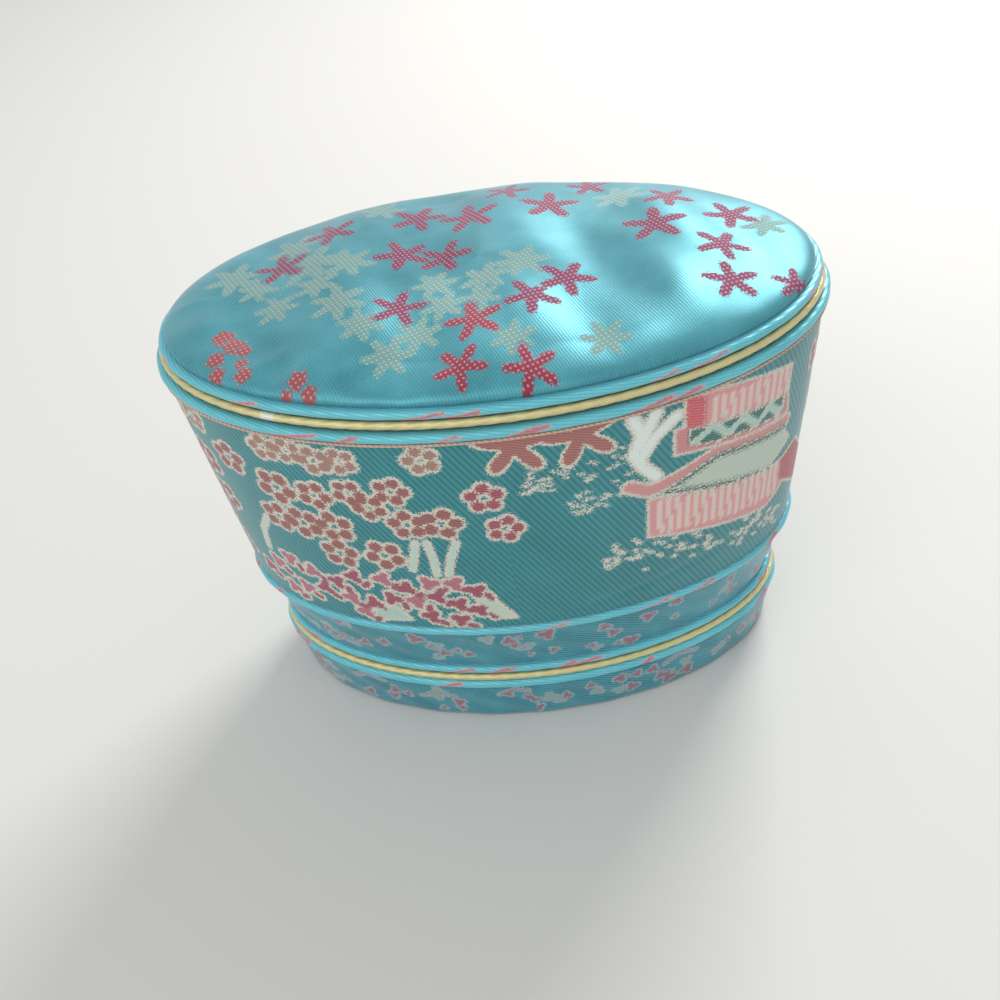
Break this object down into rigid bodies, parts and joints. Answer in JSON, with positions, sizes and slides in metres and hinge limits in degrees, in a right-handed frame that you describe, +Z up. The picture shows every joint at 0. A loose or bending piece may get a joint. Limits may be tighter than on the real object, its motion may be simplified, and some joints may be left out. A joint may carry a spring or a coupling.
{
  "type": "oval brocade keepsake box",
  "caption": "Oval keepsake box covered in woven brocade, with a tapering case, a necked foot, gold cords and a padded lift-off lid.",
  "frame": {"origin": "middle of the underside, where the box stands on the table", "axes": "+X along the length of the oval, +Y towards the back, +Z up through the lid"},
  "size_m": [0.14, 0.0854, 0.1079],
  "materials": {
    "lid_brocade": "aqua satin brocade with red and beige woven leaves",
    "edge_brocade": "pale aqua satin brocade turned round card edges",
    "case_brocade": "dark teal satin brocade with twill ground and woven flowers",
    "foot_brocade": "turquoise satin brocade with red woven sprigs",
    "gold_cord": "glossy twisted metallic thread",
    "pale_welt": "thin cream welt",
    "lining_satin": "plain satin lining",
    "wadding": "soft wadding",
    "greyboard": "matt greyboard",
    "base_paper": "matt paper"
  },
  "bodies": {
    "box": {"rim_ring": "greyboard", "rim_wrap": "edge_brocade", "rim_welt": "pale_welt", "case_wall": "greyboard", "case_cover": "case_brocade", "case_lining": "lining_satin", "floor_board": "greyboard", "floor_wrap": "edge_brocade", "floor_pad": "lining_satin", "neck_ring": "greyboard", "neck_cover": "foot_brocade", "neck_board": "greyboard", "neck_wrap": "edge_brocade", "cord_board": "greyboard", "foot_cord": "gold_cord", "foot_board": "greyboard", "foot_wrap": "edge_brocade", "foot_wall": "greyboard", "foot_cover": "foot_brocade", "bottom_board": "greyboard", "bottom_paper": "base_paper"},
    "lid": {"lid_cover": "lid_brocade", "lid_wadding": "wadding", "lid_pad_card": "greyboard", "lid_top_board": "greyboard", "lid_top_wrap": "edge_brocade", "lid_inner_board": "greyboard", "lid_cord": "gold_cord", "lid_collar": "greyboard", "lid_collar_cover": "lining_satin", "lid_lining": "lining_satin"}
  },
  "joints": [
    {"name": "lid_lift", "type": "slide", "parent": "box", "child": "lid", "axis": [0, 0, 1], "range_m": [0, 0.04]}
  ]
}
